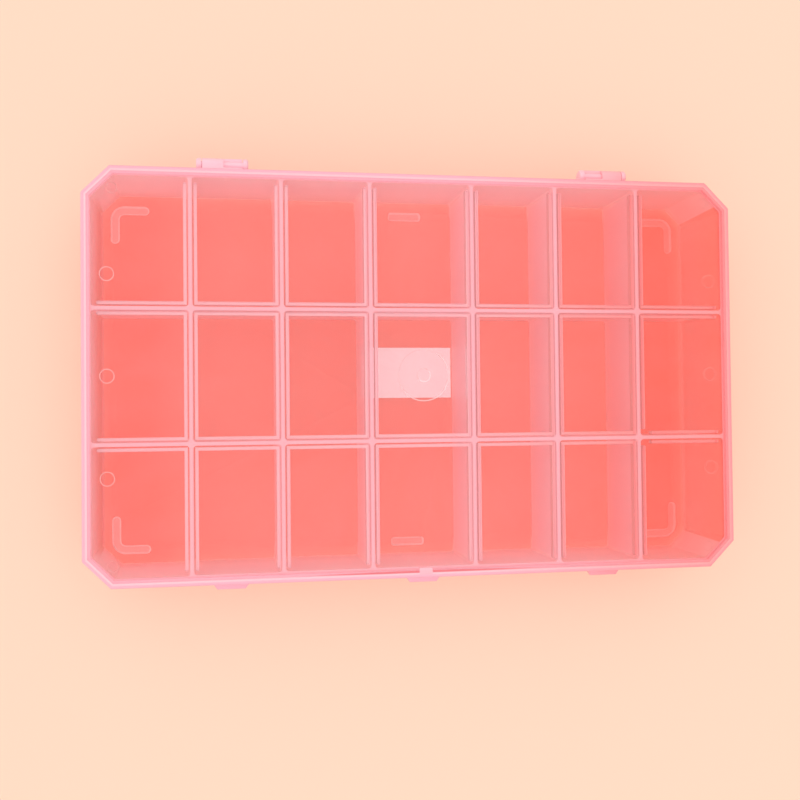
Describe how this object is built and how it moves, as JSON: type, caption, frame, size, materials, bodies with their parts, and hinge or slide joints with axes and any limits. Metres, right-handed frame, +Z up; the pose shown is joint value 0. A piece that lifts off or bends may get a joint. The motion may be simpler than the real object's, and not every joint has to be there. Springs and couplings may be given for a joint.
{
  "type": "compartment storage box",
  "caption": "Flat rose-pink translucent storage box with cut corners, a hinged snap lid and a moulded grid of compartments for small parts.",
  "frame": {"origin": "on the table under the middle of the box, level with the undersides of its feet", "axes": "+X along the box's length, to the right when its hinges are at the back; +Y to the hinges; +Z up through the lid"},
  "size_m": [0.24, 0.1534, 0.036],
  "materials": {
    "tray_plastic": "rose-pink translucent polypropylene, milky in the walls, dividers and rims, smooth with soft gloss",
    "lid_plastic": "rose-pink translucent polypropylene, clearer and glossier than the tray, milky in the ribs and skirt"
  },
  "bodies": {
    "tray": {"base_tray": "tray_plastic"},
    "cover": {"lid": "lid_plastic"}
  },
  "joints": [
    {"name": "lid_hinge", "type": "hinge", "parent": "tray", "child": "cover", "pos_m": [0, 0.0757, 0.029], "axis": [-1, 0, 0], "range_deg": [0, 180]}
  ]
}
